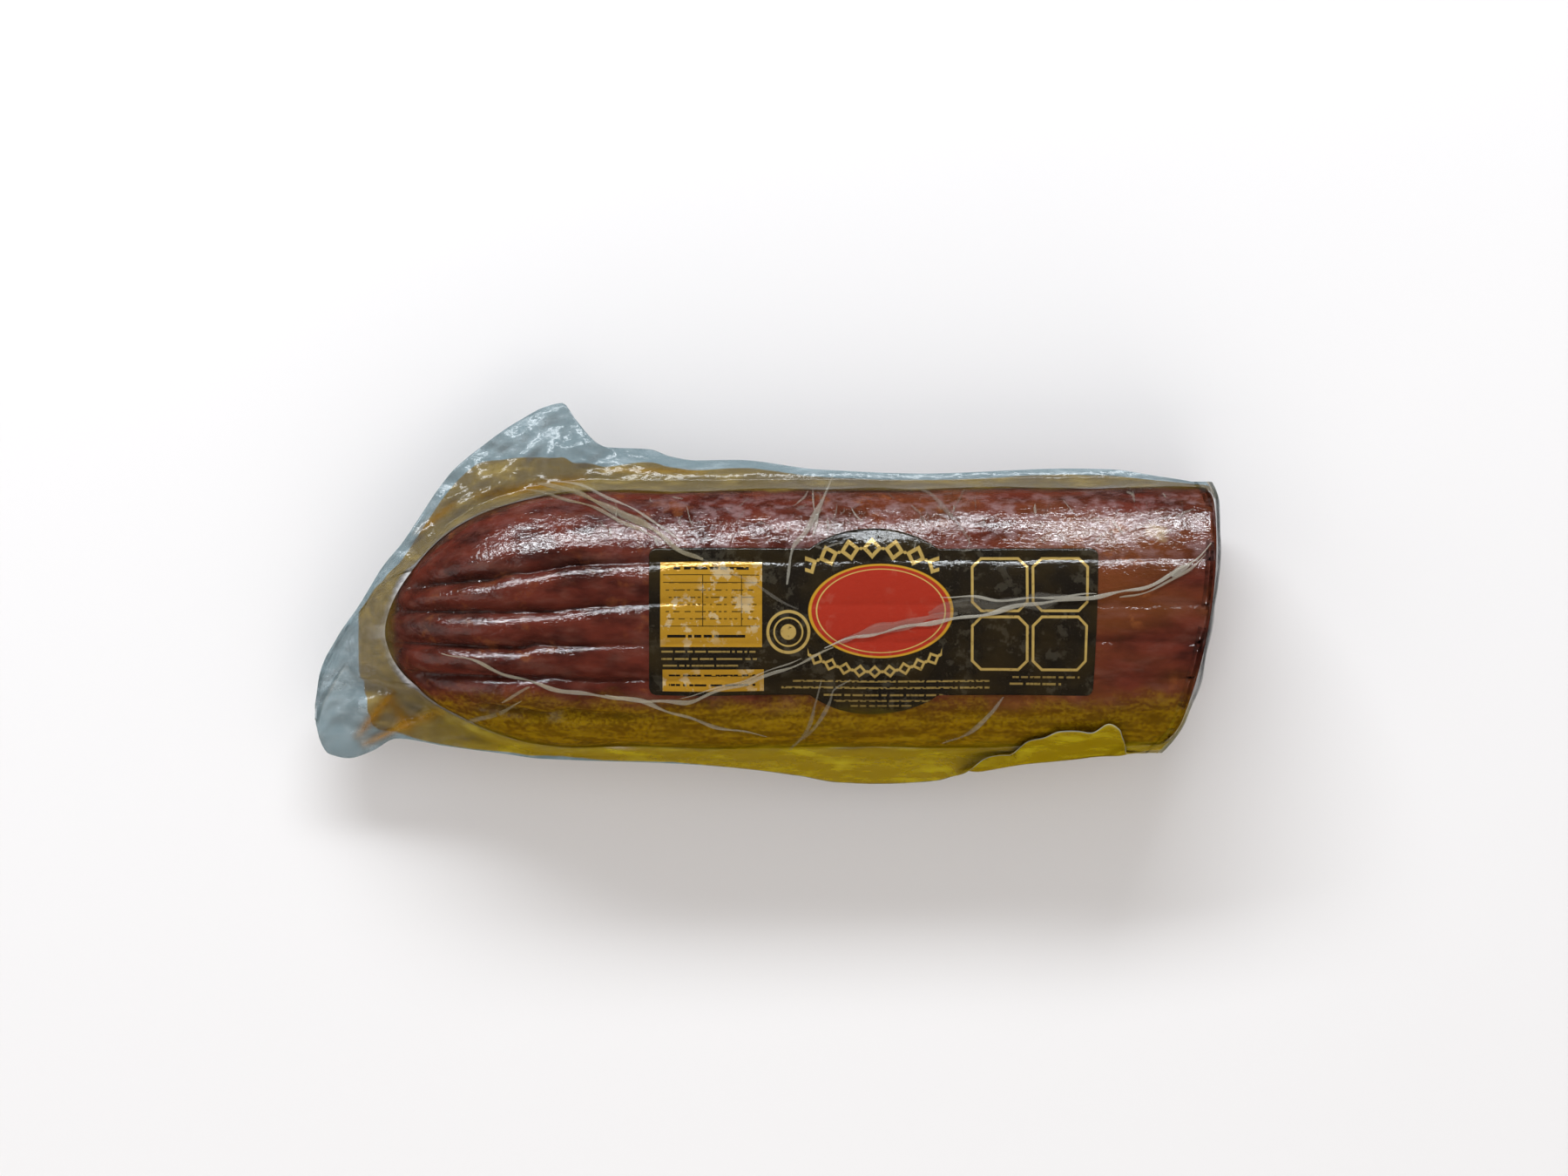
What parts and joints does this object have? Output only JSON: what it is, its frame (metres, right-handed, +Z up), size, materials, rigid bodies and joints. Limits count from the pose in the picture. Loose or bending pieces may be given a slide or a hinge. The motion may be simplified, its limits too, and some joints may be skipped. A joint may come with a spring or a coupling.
{
  "type": "cured sausage",
  "caption": "Half a pressed, dry-cured sausage with a pleated casing, vacuum-packed in clear film over a plain black and gold label.",
  "frame": {"origin": "middle of the pack's footprint, on the plane it lies on (centre of the bounding box at z = 0)", "axes": "+X along the sausage from its rounded end to its cut face, +Y across it towards the far edge of the pouch, +Z up through the label"},
  "size_m": [0.3177, 0.132, 0.0612],
  "materials": {
    "meat": "dark red, oily and mottled",
    "label_stock": "gloss black print with gold and red",
    "pouch_film": "clear, glossy and creased"
  },
  "bodies": {
    "root": {"sausage": "meat", "label": "label_stock", "front_film": "pouch_film", "back_film": "pouch_film"}
  },
  "joints": []
}
